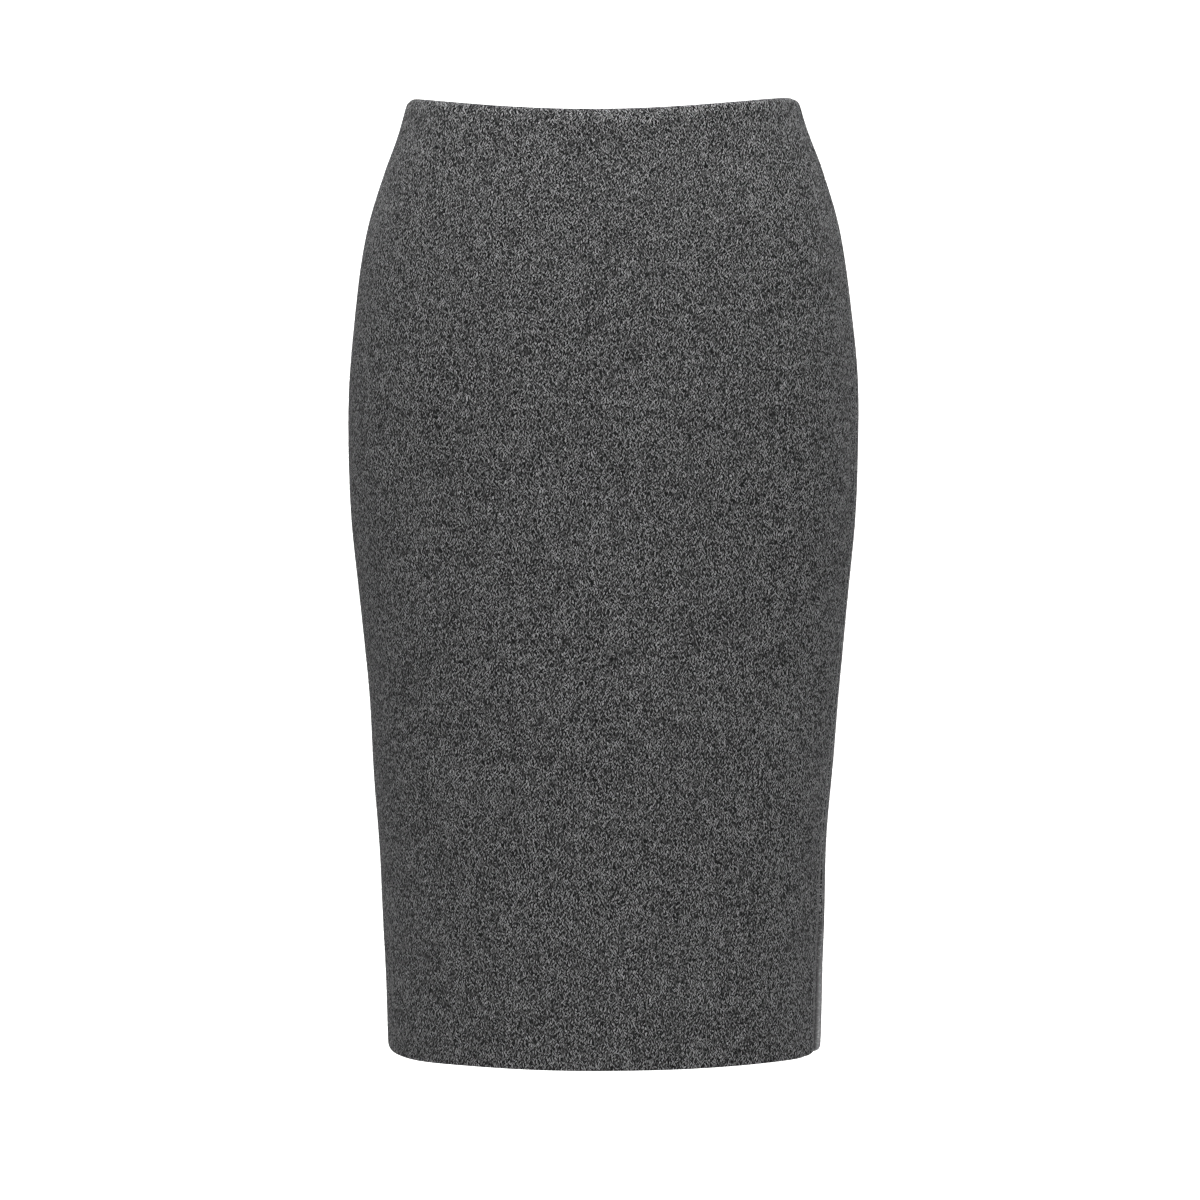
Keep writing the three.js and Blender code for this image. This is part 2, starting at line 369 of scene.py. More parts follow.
# The front panel is one piece of that knit, cut with its seam allowances, its hem and its turned
# top edge. The allowances are folded back and pressed open, the top edge is turned in over an
# elastic, and the hem is turned up, so the whole sheet is folded on all four sides.


def table(columns, *rows):
    """Rows of numbers under named columns."""
    return [dict(zip(columns.split(), row)) for row in rows]


# The form is a row for each level section, in millimetres: the drop below the top edge, half the
# width, the depth in front of the side line and behind it, how square the curve is, and how far
# the garment is turned on its wearer.
SECTIONS = table(
    "drop side front back square turn",
    (0, 129.8, 97, 99, 0.02, 6),
    (22, 136.2, 98.5, 102, 0.03, 7),
    (48, 146.0, 102.5, 107.5, 0.04, 9),
    (88, 157.4, 109.5, 115.5, 0.05, 13),
    (141, 165.9, 115, 122.5, 0.05, 17),
    (208, 170.0, 118.2, 125.5, 0.05, 20),
    (275, 168.1, 119, 124.5, 0.04, 21),
    (355, 160.6, 118.5, 121.5, 0.03, 22),
    (435, 154.0, 118, 118.5, 0.02, 26),
    (515, 148.9, 117.5, 116, 0.01, 28),
    (632, 144.4, 117, 114, 0, 32),
)
LENGTH = -cad_low.z / MM
CUT_APART = 560  # from middle to middle of the panels, cut side by side from the knit
DIP_REACH = 130  # the top edge's dip dies out by this drop
SEAM_GAP = 0.3
THICK = 1.6  # the cloth
TUCK = 0.08  # inside radius of a sharp fold
SEAM_FOLD = THICK + TUCK  # outside radius of a seam's fold, in depth
SEAM_FOLD_ROUND = 1.15  # how far the fold goes round the body, as a share of its depth
ALLOWANCE = 12
WAIST_TURNING = 45
WAIST_FOLD = 2.8  # outside radius over the elastic, and the same at a seam, where it is thicker
WAIST_FOLD_AT_SEAM = 3.5
HEM_TURNING = 38
HEM_FOLD = 1.75
HEM_FOLD_AT_SEAM = 3.5
BULK_FROM, BULK_TO = 20, 13  # from the seam, where the folds swell over the allowances
LEAN_SIDE, LEAN_MIDDLE = 0.5, 3.8  # how far the top edge leans in, over the reach below
LEAN_REACH_SIDE, LEAN_REACH_MIDDLE = 7, 12
EDGE_RIDGE, EDGE_RIDGE_AT, EDGE_RIDGE_REACH = 0.5, 11.5, 5  # along the foot of the lean
SEAM_SWELL_AT, SEAM_SWELL_REACH = 8.2, 3.8

LEVEL_STEP = 2
LEVELS = np.arange(-4, LENGTH + 2 * LEVEL_STEP, LEVEL_STEP)
OUTLINE_STEPS = 1440


def smooth(low, high, value):
    t = np.clip((value - low) / (high - low), 0, 1)
    return t * t * (3 - 2 * t)


def section_values(name, drop):
    """One column of the section table as a smooth curve of the drop, with a cubic to each row."""
    drops = np.array([row["drop"] for row in SECTIONS], float)
    values = np.array([row[name] for row in SECTIONS], float)
    ends = np.arange(len(drops))
    above, below = np.maximum(ends - 1, 0), np.minimum(ends + 1, len(drops) - 1)
    slopes = (values[below] - values[above]) / (drops[below] - drops[above])
    i = np.clip(np.searchsorted(drops, drop) - 1, 0, len(drops) - 2)
    gap = drops[i + 1] - drops[i]
    t = np.clip((drop - drops[i]) / gap, 0, 1)
    rise = t * t * (3 - 2 * t)
    curves = slopes[i] * t * (1 - t) ** 2 * gap + slopes[i + 1] * t * t * (t - 1) * gap
    return values[i] * (1 - rise) + values[i + 1] * rise + curves


class Form:
    """The outer face of the skirt: level outlines, each cut into equal lengths round."""

    def __init__(self):
        side, front, back, square, turn = (
            section_values(name, LEVELS) for name in ("side", "front", "back", "square", "turn")
        )
        angle = np.linspace(0, 2 * math.pi, OUTLINE_STEPS + 1)
        c, s = np.cos(angle), np.sin(angle)
        depth = np.where(s > 0, front[:, None], back[:, None])
        x = side[:, None] * c * (1 + square[:, None] * s * s)
        y = -depth * s * (1 + square[:, None] * c * c)
        step = np.hypot(np.diff(x, axis=1), np.diff(y, axis=1))
        reach = np.concatenate([np.zeros((len(LEVELS), 1)), np.cumsum(step, axis=1)], axis=1)
        self.girth = reach[:, -1]
        self.front_width = reach[:, OUTLINE_STEPS // 2]
        self.turn = turn
        even = np.linspace(0, 1, OUTLINE_STEPS + 1)
        self.x = np.array([np.interp(even * r[-1], r, row) for r, row in zip(reach, x)])
        self.y = np.array([np.interp(even * r[-1], r, row) for r, row in zip(reach, y)])

    def at_level(self, values, level):
        return np.interp(level, LEVELS, values)

    def panel_width(self, level, is_front):
        front = self.at_level(self.front_width, level)
        return front if is_front else self.at_level(self.girth, level) - front

    def panel_start(self, level, is_front):
        start = self.at_level(self.turn, level)
        return start if is_front else start + self.at_level(self.front_width, level)

    def point(self, level, distance, depth):
        """The place this far round and this far in from the outer face, in metres."""
        share = np.mod(distance / self.at_level(self.girth, level), 1) * OUTLINE_STEPS
        row = np.clip((level - LEVELS[0]) / LEVEL_STEP, 0, len(LEVELS) - 1.001)
        i, j = row.astype(int), share.astype(int)
        a, b = row - i, share - j
        places = []
        for grid in (self.x, self.y):
            here = [
                grid[i + di, (j + dj) % OUTLINE_STEPS]
                for di in (0, 1) for dj in (-1, 0, 1, 2)
            ]
            before, start, end, after = (
                here[k] * (1 - a) + here[k + 4] * a for k in range(4)
            )
            places.append((start * (1 - b) + end * b, (after - before)))
        (x, along_x), (y, along_y) = places
        size = np.hypot(along_x, along_y)
        x = x + along_y / size * depth
        y = y - along_x / size * depth
        return np.stack([x, y, -level], axis=-1) * MM


FORM = Form()

# Soft folds and strains, each a low ridge, or a trough where the height is negative: the place
# across from the panel's middle (towards +X), the drop, half the length and its slant in
# degrees, half the width, and the height.
FRONT_FOLDS = table(
    "across drop reach slant wide high",
    (88, 52, 34, 30, 7, 0.55),
    (36, 58, 22, 8, 11, 0.60),
    (-4, 27, 16, -55, 4, 0.35),
    (-64, 91, 17, 78, 5, 0.40),
    (-20, 92, 14, -75, 4, 0.35),
    (-42, 80, 24, 4, 6, 0.35),
    (-44, 94, 20, 2, 7, -0.40),
    (-98, 46, 26, -24, 9, 0.45),
    (104, 128, 36, -20, 10, -0.50),
    (-108, 150, 40, 16, 12, -0.45),
    (30, 232, 46, -12, 13, -0.45),
    (70, 262, 42, 22, 10, 0.40),
    (-50, 330, 60, 6, 14, 0.40),
    (52, 402, 44, -8, 12, 0.40),
    (-52, 448, 48, 3, 9, 0.50),
    (-40, 466, 50, 5, 8, -0.40),
    (-100, 420, 36, -30, 13, -0.55),
    (84, 548, 34, 34, 11, -0.45),
    (34, 596, 28, 62, 10, 0.45),
)
BACK_FOLDS = table(
    "across drop reach slant wide high",
    (-60, 38, 30, -22, 8, 0.55),
    (52, 44, 34, 24, 9, 0.55),
    (4, 74, 52, 2, 10, -0.60),
    (-84, 112, 40, 20, 11, 0.50),
    (90, 120, 38, -24, 10, 0.50),
    (-30, 212, 44, 12, 12, -0.50),
    (60, 238, 46, -10, 12, -0.45),
    (-66, 286, 40, -8, 10, 0.45),
    (18, 300, 60, 4, 13, 0.50),
    (76, 356, 34, 30, 11, -0.50),
    (-40, 404, 52, -5, 11, -0.45),
    (36, 470, 44, 8, 12, 0.45),
    (-86, 520, 36, -32, 12, -0.50),
    (20, 590, 30, 70, 10, 0.45),
)
FOLD_FADE = 26  # the folds die out over this distance from a seam

# Slower unevenness all round: waves in the drop and round the body, in turns and in phase.
SWELLS = table(
    "turns rise phase high",
    (3, 0.021, 0.4, 0.35),
    (5, -0.034, 2.1, 0.28),
    (8, 0.052, 4.0, 0.20),
    (2, 0.071, 1.2, 0.16),
    (11, -0.018, 5.2, 0.16),
)


def fold_relief(folds, across, drop, inset):
    relief = np.zeros(np.broadcast(across, drop).shape)
    for fold in folds:
        slant = math.radians(fold["slant"])
        right, up = across - fold["across"], fold["drop"] - drop
        along = right * math.cos(slant) + up * math.sin(slant)
        aside = up * math.cos(slant) - right * math.sin(slant)
        length = np.exp(-(np.abs(along) / fold["reach"]) ** 3)
        relief = relief + fold["high"] * length * np.exp(-(aside / fold["wide"]) ** 2)
    return relief * smooth(0, FOLD_FADE, inset)


# Both hems hang a little lower than cut, and unevenly: lower by the sum of these waves.
HEM_FALL, HEM_FALL_REACH = 0.6, 60
FRONT_HEM = (
    dict(across=-108, wide=28, low=0.8),
    dict(across=190, wide=30, low=0.7),
    dict(across=-171, wide=18, low=-3.0),
)
BACK_HEM = (
    dict(across=180, wide=19, low=-2.5),
    dict(across=-60, wide=40, low=0.5),
)
# The back panel's edge stands proud of the seam near the hem, and a highlight is painted pale on it
# there.
FLARE_FROM_TO = (500, 596)
FLARE_REACH = 11
HIGHLIGHT_FROM_TO = (520, 600)
HIGHLIGHT_REACH = 5
SEAM_HIGHLIGHT, SEAM_HIGHLIGHT_AT, SEAM_HIGHLIGHT_REACH = 0.34, 4.6, 2.2  # a weaker painted highlight along the ridge beside every side seam
SEAM_SHADE_FROM_TO = (0.5, 0.16)  # from the seam, where the painted shade in its groove ends and where it is full
OPEN_FROM_TO = (0.30, 0.95)  # shares of the way from the panel's middle to its edge


def swell_relief(turn_share, drop):
    relief = np.zeros(np.broadcast(turn_share, drop).shape)
    for wave in SWELLS:
        angle = 2 * math.pi * wave["turns"] * turn_share + wave["rise"] * drop + wave["phase"]
        relief = relief + wave["high"] * np.sin(angle)
    return relief * smooth(0, 40, drop)


FOLD_ARC_STEPS = 8
INSETS_BY_SEAM = (2.9, 4.1, 5.6, 7.4, 9.6, 12.4, 16, 20)
COLUMNS_BETWEEN = 96
FOLD_CENTRE = SEAM_GAP / 2 + SEAM_FOLD_ROUND * SEAM_FOLD
SEAM_FOLD_FLAT = 3.4  # length of cloth in the fold


def seam_columns():
    """From the allowance's cut edge to the flat of the panel: for the cloth's outer and inner
    face, how far from the seam and how far in, and the distance from the seam on the cut cloth."""
    columns = []
    for inset in (ALLOWANCE, 9, 6, 3.4, FOLD_CENTRE):
        flat = FOLD_CENTRE - SEAM_FOLD_FLAT - (inset - FOLD_CENTRE)
        layers = (2 * SEAM_FOLD, 2 * SEAM_FOLD - THICK)
        columns.append(dict(inset=(inset, inset), layer=layers, flat=flat))
    for step in range(FOLD_ARC_STEPS - 1, 0, -1):
        angle = math.pi * step / FOLD_ARC_STEPS
        radii = (SEAM_FOLD, TUCK)
        inset = [FOLD_CENTRE - SEAM_FOLD_ROUND * r * math.sin(angle) for r in radii]
        layers = [SEAM_FOLD - r * math.cos(angle) for r in radii]
        flat = FOLD_CENTRE - SEAM_FOLD_FLAT * angle / math.pi
        columns.append(dict(inset=inset, layer=layers, flat=flat))
    for inset in (FOLD_CENTRE, *INSETS_BY_SEAM):
        columns.append(dict(inset=(inset, inset), layer=(0, THICK), flat=inset))
    return columns


def panel_columns(face):
    """All columns of a panel for one face of its cloth, as arrays."""
    side = seam_columns()
    last = INSETS_BY_SEAM[-1]
    middle = COLUMNS_BETWEEN - 1
    start = [(c["inset"][face], c["layer"][face], c["flat"]) for c in side]
    between = [(last, (0, THICK)[face], last)] * middle
    rows = start + between + start[::-1]
    share = [0.0] * len(side)
    share += [k / COLUMNS_BETWEEN for k in range(1, COLUMNS_BETWEEN)] + [1.0] * len(side)
    inset, layer, flat = np.array(rows, float).T
    return inset, layer, flat, np.array(share)


ROWS_WAIST_TURNING, ROWS_OUTSIDE, ROWS_HEM_TURNING = 10, 158, 9
ROWS_WAIST_FOLD, ROWS_HEM_FOLD = 10, 8


def panel_rows():
    """The stretches of a panel from the cut edge inside the top to the cut edge inside the hem,
    each with the share of the way along it."""
    stretches = (
        ("waist turning", ROWS_WAIST_TURNING),
        ("waist fold", ROWS_WAIST_FOLD),
        ("outside", ROWS_OUTSIDE),
        ("hem fold", ROWS_HEM_FOLD),
        ("hem turning", ROWS_HEM_TURNING),
    )
    rows = [(name, k / count) for name, count in stretches for k in range(count)]
    return rows + [("hem turning", 1.0)]


def cut_waver(flat_across):
    """How unevenly a turning was cut and pressed, in millimetres."""
    return 0.6 * np.sin(flat_across * 0.047 + 0.7) + 0.4 * np.sin(flat_across * 0.118 + 2.0)


def folded_row(stretch, share, layer, bulk, flat_across):
    """Drop, depth and length along the cut cloth of a row at each column."""
    waist = WAIST_FOLD + (WAIST_FOLD_AT_SEAM - WAIST_FOLD) * bulk
    hem = HEM_FOLD + (HEM_FOLD_AT_SEAM - HEM_FOLD) * bulk
    hem_level = LENGTH - hem
    if stretch == "waist turning":
        edge = WAIST_TURNING + cut_waver(flat_across)
        drop = edge + (waist - edge) * share
        return drop, 2 * waist - layer, -math.pi * WAIST_FOLD - drop + 2 * waist
    if stretch == "waist fold":
        angle = math.pi * (1 - share)
        drop = waist - (waist - layer) * np.sin(angle)
        return drop, waist - (waist - layer) * np.cos(angle), waist - WAIST_FOLD * angle
    if stretch == "outside":
        drop = waist + (hem_level - waist) * share
        return drop, layer + 0 * drop, drop
    if stretch == "hem fold":
        angle = math.pi * share
        drop = hem_level + (hem - layer) * np.sin(angle)
        return drop, hem - (hem - layer) * np.cos(angle), hem_level + HEM_FOLD * angle
    edge = LENGTH - HEM_TURNING - cut_waver(flat_across + 90)
    drop = hem_level + (edge - hem_level) * share
    return drop, 2 * hem - layer, hem_level + HEM_FOLD * math.pi + hem_level - drop


class Panel:
    """One panel: its cut, and the place of any point of its folded cloth."""

    def __init__(self, is_front, dip, dip_power, folds, hem_waves, seam_swell, flare=0.0):
        self.is_front, self.dip, self.dip_power = is_front, dip, dip_power
        self.folds, self.hem_waves = folds, hem_waves
        self.seam_swell, self.flare = seam_swell, flare
        self.cut_beside = 0 if is_front else CUT_APART

    def hem_fall(self, across, drop):
        """How much lower than the plain level the hem hangs here."""
        fall = HEM_FALL + sum(
            wave["low"] * np.exp(-(((across - wave["across"]) / wave["wide"]) ** 2))
            for wave in self.hem_waves
        )
        return fall * smooth(LENGTH - HEM_FALL_REACH, LENGTH, drop)

    def painted_highlight(self, across, from_seam, drop):
        """How strong the painted highlight is, from 0 to 1: on the edge that stands proud near the
        hem, and weaker along the ridge beside each seam.
        """
        near = np.exp(-((from_seam / HIGHLIGHT_REACH) ** 2)) * smooth(0, 30, across)
        by_hem = near * smooth(*HIGHLIGHT_FROM_TO, drop) * (self.flare > 0)
        ridge = np.exp(-(((from_seam - SEAM_HIGHLIGHT_AT) / SEAM_HIGHLIGHT_REACH) ** 2))
        return np.maximum(by_hem, SEAM_HIGHLIGHT * ridge)

    def open_knit(self, across, drop):
        """How far the knit is pulled open, which grows towards the side seams."""
        half = FORM.panel_width(np.clip(drop, 0, LENGTH), self.is_front) / 2
        return smooth(*OPEN_FROM_TO, np.abs(across) / half)

    def place(self, share, inset, drop, depth):
        """Metres, for a share of the way across, a distance from the nearer seam, and so on."""
        middle = np.sin(math.pi * share)
        level = drop + self.dip * middle ** self.dip_power * np.clip(1 - drop / DIP_REACH, 0, 1)
        width = FORM.panel_width(level, self.is_front)
        distance = inset + (width - 2 * inset) * share
        across = (width / 2 - distance) * (1 if self.is_front else -1)
        from_seam = np.minimum(distance, width - distance)
        round_body = FORM.panel_start(level, self.is_front) + distance
        level = level + self.hem_fall(across, drop)
        reach = LEAN_REACH_SIDE + (LEAN_REACH_MIDDLE - LEAN_REACH_SIDE) * middle ** 2
        lean = LEAN_SIDE + (LEAN_MIDDLE - LEAN_SIDE) * middle ** 2
        lean = lean * np.clip(1 - drop / reach, 0, 1) ** 2
        ridge = np.exp(-(((drop - EDGE_RIDGE_AT) / EDGE_RIDGE_REACH) ** 2)) * middle ** 2
        swell = np.exp(-(((from_seam - SEAM_SWELL_AT) / SEAM_SWELL_REACH) ** 2))
        out = fold_relief(self.folds, across, drop, from_seam)
        out = out + self.seam_swell * swell + EDGE_RIDGE * ridge
        out = out + swell_relief(round_body / FORM.at_level(FORM.girth, level), drop)
        proud = np.exp(-((from_seam / FLARE_REACH) ** 2)) * smooth(0, 30, across)
        outer_layer = np.clip(1 - depth / (2 * SEAM_FOLD), 0, 1)
        out = out + self.flare * proud * smooth(*FLARE_FROM_TO, drop) * outer_layer
        return FORM.point(level, round_body, depth + lean - out)

    def flat_across(self, flat, share, drop):
        """The place across the cut cloth, from the middle of the panel."""
        width = FORM.panel_width(drop, self.is_front)
        distance = flat + (width - 2 * flat) * share
        return (width / 2 - distance) * (1 if self.is_front else -1)

    def faces_of_cloth(self):
        """Points and places on the cut cloth for both faces of the folded sheet."""
        points, places, painted_highlight, painted_shade, opened = [], [], [], [], []
        for face in (0, 1):
            inset, layer, flat, share = panel_columns(face)
            bulk = 1 - smooth(BULK_TO, BULK_FROM, inset)
            bulk = np.where((share > 0) & (share < 1), 0, bulk)
            for stretch, along in panel_rows():
                guess = self.flat_across(flat, share, np.full(len(flat), LENGTH / 2))
                drop, depth, length = folded_row(stretch, along, layer, bulk, guess)
                points.append(self.place(share, inset, drop, depth))
                across = self.flat_across(flat, share, np.clip(drop, 0, LENGTH))
                on_knit = np.stack([across + self.cut_beside, -length + 0 * across], axis=-1)
                places.append(on_knit * MM)
                from_seam = np.where(share > 0.5, 1 - share, share) * LENGTH / 2 + inset
                # A painted highlight, on the outer face only.
                painted_highlight.append(self.painted_highlight(across, from_seam, drop) * (face == 0))
                # Painted shade in the groove of each side seam, on the outer face only.
                into_seam = smooth(0, 1, (SEAM_SHADE_FROM_TO[0] - from_seam) / np.ptp(SEAM_SHADE_FROM_TO))
                painted_shade.append(into_seam * (face == 0))
                opened.append(self.open_knit(across, drop))
        cloth_attributes = {"painted_highlight": painted_highlight, "painted_shade": painted_shade, "pulled_open": opened}
        return np.array(points), np.array(places), cloth_attributes


def riding_piece(name, mesh):
    mesh.update()
    piece = bpy.data.objects.new(name, mesh)
    bpy.context.collection.objects.link(piece)
    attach(piece, "root")
    return piece


def folded_sheet(name, panel, replaced):
    points, places, cloth_attributes = panel.faces_of_cloth()
    rows, columns = points.shape[0] // 2, points.shape[1]
    at = np.arange(2 * rows * columns).reshape(2, rows, columns)
    outer, inner = at
    quads = [
        np.stack([outer[:-1, :-1], outer[:-1, 1:], outer[1:, 1:], outer[1:, :-1]], -1),
        np.stack([inner[:-1, :-1], inner[1:, :-1], inner[1:, 1:], inner[:-1, 1:]], -1),
        np.stack([outer[:-1, 0], outer[1:, 0], inner[1:, 0], inner[:-1, 0]], -1),
        np.stack([outer[1:, -1], outer[:-1, -1], inner[:-1, -1], inner[1:, -1]], -1),
        np.stack([outer[0, 1:], outer[0, :-1], inner[0, :-1], inner[0, 1:]], -1),
        np.stack([outer[-1, :-1], outer[-1, 1:], inner[-1, 1:], inner[-1, :-1]], -1),
    ]
    quads = [q.reshape(-1, 4) for q in quads]
    faces = np.concatenate(quads)
    mesh = bpy.data.meshes.new(name)
    mesh.from_pydata(points.reshape(-1, 3).tolist(), [], faces.tolist())
    cut = mesh.uv_layers.new(name="cloth")
    cut.data.foreach_set("uv", places.reshape(-1, 2)[faces.reshape(-1)].reshape(-1))
    for label, values in cloth_attributes.items():
        attribute = mesh.attributes.new(label, "FLOAT", "POINT")
        attribute.data.foreach_set("value", np.array(values).reshape(-1))
    mesh.materials.append(KNIT_FACE)
    mesh.materials.append(KNIT_BACK)
    material = np.ones(len(faces), int)
    material[: len(quads[0])] = 0
    mesh.polygons.foreach_set("material_index", material)
    piece = riding_piece(name, mesh)
    bpy.ops.object.select_all(action="DESELECT")
    piece.select_set(True)
    bpy.context.view_layer.objects.active = piece
    bpy.ops.object.shade_smooth_by_angle(angle=math.radians(50))
    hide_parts(replaced)
    return piece


FRONT = Panel(
    is_front=True, dip=12.4, dip_power=1.3, folds=FRONT_FOLDS, hem_waves=FRONT_HEM, seam_swell=0.6
)
front_cloth = folded_sheet("front_cloth", FRONT, "front_panel")

# The back panel is cut and folded in the same way. Its edge stands a little proud of the seam
# on the +X side near the hem, where the turned layers are thickest.
BACK = Panel(
    is_front=False, dip=4, dip_power=2, folds=BACK_FOLDS, hem_waves=BACK_HEM, seam_swell=0.3,
    flare=2.9,
)
back_cloth = folded_sheet("back_cloth", BACK, "back_panel")

# The wool is a little felted: short fibres stand up from its outer face and over the top edge,
# curled close to the cloth and as mixed in grey as the yarn. Two longer pale ones cling to the
# front just under its top edge.
FUZZ_COUNT = 20000  # on each panel
FUZZ_LENGTH = (1.0, 3.2)
FUZZ_HEIGHT = (0.25, 0.9)
FUZZ_RADIUS = 0.055
FUZZ_THINNEST_THICKEST = (0.6, 1.1)  # as shares of that
FUZZ_FROM_SEAM = 2.6
STRAY_RADIUS = 0.36
STRAY_FIBRES = (
    dict(distance=269, drop=-0.4, length=11, slant=-70, height=0.8),
    dict(distance=143, drop=6.0, length=9, slant=-122, height=0.6),
)
ROUGH_DROPS = {
    "waist turning": (WAIST_TURNING, 0),
    "waist fold": (0, 0),
    "outside": (0, LENGTH),
    "hem fold": (LENGTH, LENGTH),
    "hem turning": (LENGTH, LENGTH - HEM_TURNING),
}


def over_cloth(panel, stretch, distance, along, height):
    """Metres, for a distance from the panel's first seam, a share of the way along a stretch of
    the folded cloth, and a height above the face that is its outer one."""
    start, end = ROUGH_DROPS[stretch]
    rough = start + (end - start) * along
    width = FORM.panel_width(rough, panel.is_front)
    last = INSETS_BY_SEAM[-1]
    share = np.clip((distance - last) / (width - 2 * last), 0, 1)
    by_second_seam = np.where(share >= 1, width - distance, last)
    inset = np.where(share <= 0, distance, by_second_seam)
    bulk = 1 - smooth(BULK_TO, BULK_FROM, inset)
    across = panel.flat_across(inset, share, rough)
    drop, depth, _ = folded_row(stretch, along, -height, bulk, across)
    return panel.place(share, inset, drop, depth)


def curled_fibres(panel, stretch, along, rng):
    """Start, middle and end points of fibres that start at these shares of a stretch."""
    count = len(along)
    start, end = ROUGH_DROPS[stretch]
    width = FORM.panel_width(start + (end - start) * along, panel.is_front)
    distance = FUZZ_FROM_SEAM + (width - 2 * FUZZ_FROM_SEAM) * rng.random(count)
    length = rng.uniform(*FUZZ_LENGTH, count)
    height = rng.uniform(*FUZZ_HEIGHT, count) * rng.random(count)
    heading = rng.uniform(0, 2 * math.pi, count)
    curl = rng.normal(0, 0.8, count)
    run = LENGTH if stretch == "outside" else math.pi * WAIST_FOLD
    points = []
    for reach, turn, lift in ((0, 0, -0.06), (0.5, 0, 1), (1, 1, 0.45)):
        way = heading + curl * turn
        on = np.clip(along + reach * length * np.sin(way) / run, 0, 1)
        right = distance + reach * length * np.cos(way)
        raised = height * lift if reach else lift
        points.append(over_cloth(panel, stretch, right, on, raised))
    return np.stack(points, axis=1)


def fuzz_points(panel, seed):
    rng = np.random.default_rng(seed)
    on_edge = int(FUZZ_COUNT * math.pi * WAIST_FOLD / LENGTH)
    return np.concatenate(
        [
            curled_fibres(panel, "outside", rng.random(FUZZ_COUNT), rng),
            curled_fibres(panel, "waist fold", rng.random(on_edge), rng),
        ]
    ), rng


def stray_points(panel):
    points = []
    for fibre in STRAY_FIBRES:
        way = math.radians(fibre["slant"])
        reach = np.array([0.0, 0.52, 1.0]) * fibre["length"]
        bow = np.array([0.0, 0.5, 0.0])
        right = fibre["distance"] - reach * math.cos(way) + bow
        drop = fibre["drop"] - reach * math.sin(way)
        height = fibre["height"] * np.array([0.4, 1.0, 0.6])
        points.append(over_cloth(panel, "outside", right, (drop - WAIST_FOLD) / LENGTH, height))
    return np.array(points)


FIBRE_PALE = (0.55, 0.55, 0.555, 1)


def loose_wool():
    """Each fibre has its own grey, on the first axis of its map, and is paler to its tip."""
    material = bpy.data.materials.new("loose_wool")
    material.use_nodes = True
    tree = material.node_tree
    w = Wiring(tree)
    place = w.node("ShaderNodeUVMap", {"uv_map": "fibre"}).outputs["UV"]
    parts = w.node("ShaderNodeSeparateXYZ", i0=place).outputs
    share = w.math("POWER", parts[0], 2.6)
    share = w.math("MULTIPLY", share, w.spread(parts[1], 0.0, 1.0, 0.8, 1.15), clamp=True)
    shader = tree.nodes["Principled BSDF"]
    tree.links.new(w.mix(share, DARK_WOOL, FIBRE_PALE), shader.inputs["Base Color"])
    tree.links.new(w.spread(parts[1], 0.0, 1.0, 0.95, 0.75), shader.inputs["Roughness"])
    shader.inputs["Specular IOR Level"].default_value = 0.15
    return material


LOOSE_WOOL = loose_wool()


def spindles(name, points, radius, greys):
    """Closed thin fibres, each a small triangle at its middle drawn out to a point at both ends."""
    start, middle, end = points.transpose(1, 0, 2)
    way = end - start
    way = way / np.maximum(np.linalg.norm(way, axis=1, keepdims=True), 1e-9)
    side = np.cross(way, (0.36, 0.48, 0.80))
    side = side / np.maximum(np.linalg.norm(side, axis=1, keepdims=True), 1e-9)
    other = np.cross(way, side)
    corners = [start]
    for third in range(3):
        angle = 2 * math.pi * third / 3
        round_it = side * math.cos(angle) + other * math.sin(angle)
        corners.append(middle + round_it * radius[:, None] * MM)
    corners.append(end)
    vertices = np.stack(corners, axis=1).reshape(-1, 3)
    pattern = np.array([(0, 2, 1), (0, 3, 2), (0, 1, 3), (4, 1, 2), (4, 2, 3), (4, 3, 1)])
    faces = (np.arange(len(points))[:, None, None] * 5 + pattern).reshape(-1, 3)
    mesh = bpy.data.meshes.new(name)
    mesh.from_pydata(vertices.tolist(), [], faces.tolist())
    along = np.array([0, 0.5, 0.5, 0.5, 1.0])[pattern]
    grey = np.broadcast_to(greys[:, None, None], (len(points), *pattern.shape))
    along = np.broadcast_to(along, grey.shape)
    fibre = mesh.uv_layers.new(name="fibre")
    fibre.data.foreach_set("uv", np.stack([grey, along], axis=-1).reshape(-1))
    mesh.materials.append(LOOSE_WOOL)
    riding_piece(name, mesh)


for name, panel, seed in (("front_fuzz", FRONT, 11), ("back_fuzz", BACK, 12)):
    fibres, rng = fuzz_points(panel, seed)
    radius = FUZZ_RADIUS * rng.uniform(*FUZZ_THINNEST_THICKEST, len(fibres))
    spindles(name, fibres, radius, rng.random(len(fibres)))
strays = stray_points(FRONT)
spindles("stray_fibres", strays, np.full(len(strays), STRAY_RADIUS), np.ones(len(strays)))

# All raw edges are finished with an overlock stitch in fine charcoal thread, which winds over
# the cut edge every few millimetres beside a line of needle stitches.
THREAD_RADIUS = 0.13
THREAD_SIDES = 5
THREAD_DARK = (0.012, 0.012, 0.013, 1)
THREAD_PALE = (0.075, 0.075, 0.080, 1)
OVERLOCK_PITCH = 2.4
OVERLOCK_WIDTH = 4.6
CLEAR_OF_TURNING = 3


